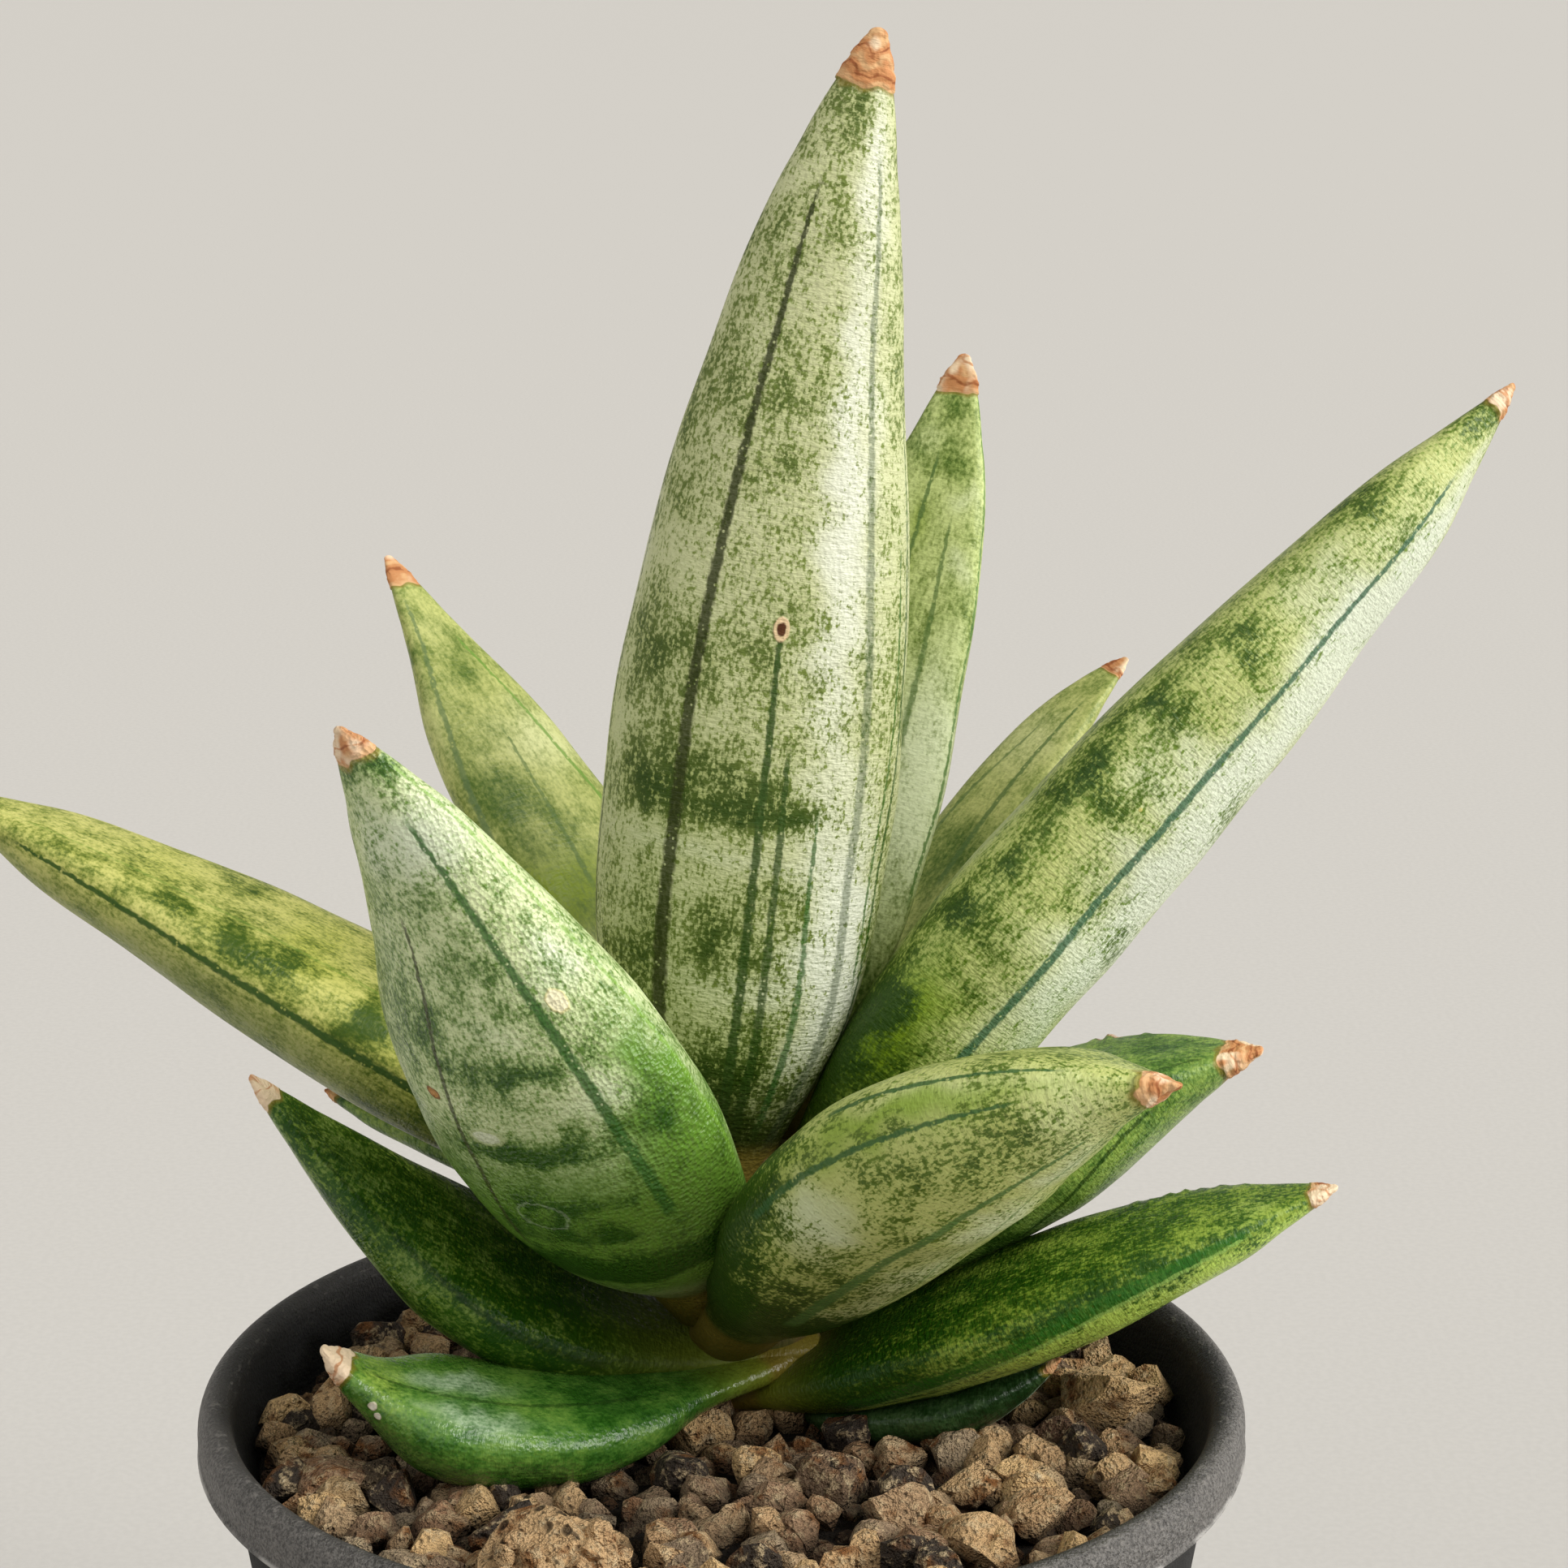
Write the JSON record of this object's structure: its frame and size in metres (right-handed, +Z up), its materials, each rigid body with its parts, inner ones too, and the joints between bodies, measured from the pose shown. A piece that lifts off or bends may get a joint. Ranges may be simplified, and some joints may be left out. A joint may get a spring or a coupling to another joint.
{
  "type": "potted snake plant",
  "caption": "Snake plant with thick, tapering, mottled leaves on a short stem, in a round plastic pot with a rolled rim, filled with coarse gravel.",
  "frame": {"origin": "centre of the pot's flat base", "axes": "+Z up along the pot's axis, -Y towards the front in the picture, +X to its right"},
  "size_m": [0.1538, 0.1026, 0.2143],
  "materials": {
    "pot_plastic": "moulded, fine grain, lightly scuffed",
    "gravel": "porous, dry",
    "stem": "dry brown sheaths",
    "leaf_pale": "waxy, pale green with dark mottling and lines",
    "leaf_dark": "waxy, dark green, glossier than the others",
    "leaf_yellow": "waxy, yellow-green with dark mottling"
  },
  "bodies": {
    "root": {"pot": "pot_plastic", "gravel_bed": "gravel", "stem": "stem", "leaf_front_left": "leaf_pale", "leaf_front_right": "leaf_pale", "leaf_centre_tall": "leaf_pale", "leaf_right_large": "leaf_pale", "leaf_gravel_left": "leaf_dark", "leaf_low_right": "leaf_dark", "leaf_low_left": "leaf_dark", "leaf_left_long": "leaf_yellow", "leaf_middle_right": "leaf_dark", "leaf_back_right": "leaf_yellow", "leaf_back_left": "leaf_yellow", "leaf_right_small": "leaf_yellow", "leaf_shaded_right": "leaf_dark", "leaf_hidden_left": "leaf_dark"}
  },
  "joints": []
}
